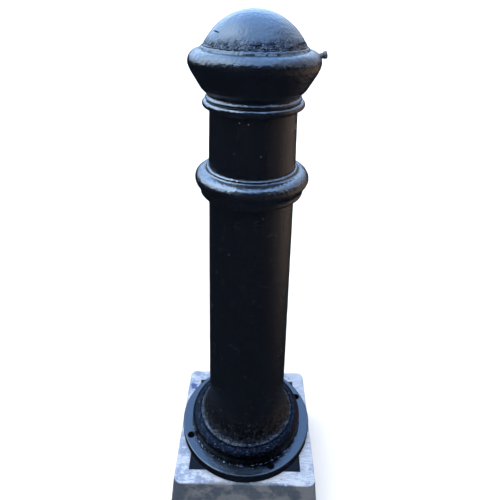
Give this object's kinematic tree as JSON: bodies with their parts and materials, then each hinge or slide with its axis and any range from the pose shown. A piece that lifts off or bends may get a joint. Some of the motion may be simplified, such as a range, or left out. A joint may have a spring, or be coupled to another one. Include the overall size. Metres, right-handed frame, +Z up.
{
  "type": "street post on plinth",
  "caption": "Sectional cast iron street post with a domed lift-off access cap, collar and bell foot, bolted flange, on a hollow square plinth.",
  "frame": {"origin": "centre of the plinth's underside, on the ground", "axes": "+Z up along the post, +X towards the lock bolt, the plinth's sides along X and Y"},
  "size_m": [0.368, 0.368, 1.1],
  "materials": {
    "plinth_iron": "bare grey casting, rough sides, machined top face",
    "black_paint": "thick gloss black paint over a rough casting",
    "dark_bolt": "dull dark steel",
    "steel": "zinc plated",
    "brass": "turned",
    "gasket_rubber": "matt"
  },
  "bodies": {
    "post": {"plinth": "plinth_iron", "base_flange": "black_paint", "moulding_screws": "steel", "base_moulding": "black_paint", "main_shaft": "black_paint", "collar_ring": "black_paint", "upper_shaft": "black_paint", "neck_ring": "black_paint", "head_bowl": "black_paint", "cap_gasket": "gasket_rubber", "lock_bush": "brass", "tie_rod": "steel", "top_bridge": "steel", "top_washer": "steel", "top_nut": "steel", "base_bar": "steel", "bottom_washer": "steel", "bottom_nut": "steel", "joint_dowels": "steel"},
    "cap": {"cap_dome": "black_paint", "cap_spigot": "steel"},
    "lock": {"lock_bolt": "dark_bolt"}
  },
  "joints": [
    {"name": "cap_lift", "type": "slide", "parent": "post", "child": "cap", "axis": [0, 0, 1], "range_m": [0, 0.08]},
    {"name": "lock_back_out", "type": "slide", "parent": "post", "child": "lock", "axis": [0.9659, 0, 0.2588], "range_m": [0, 0.02]}
  ]
}
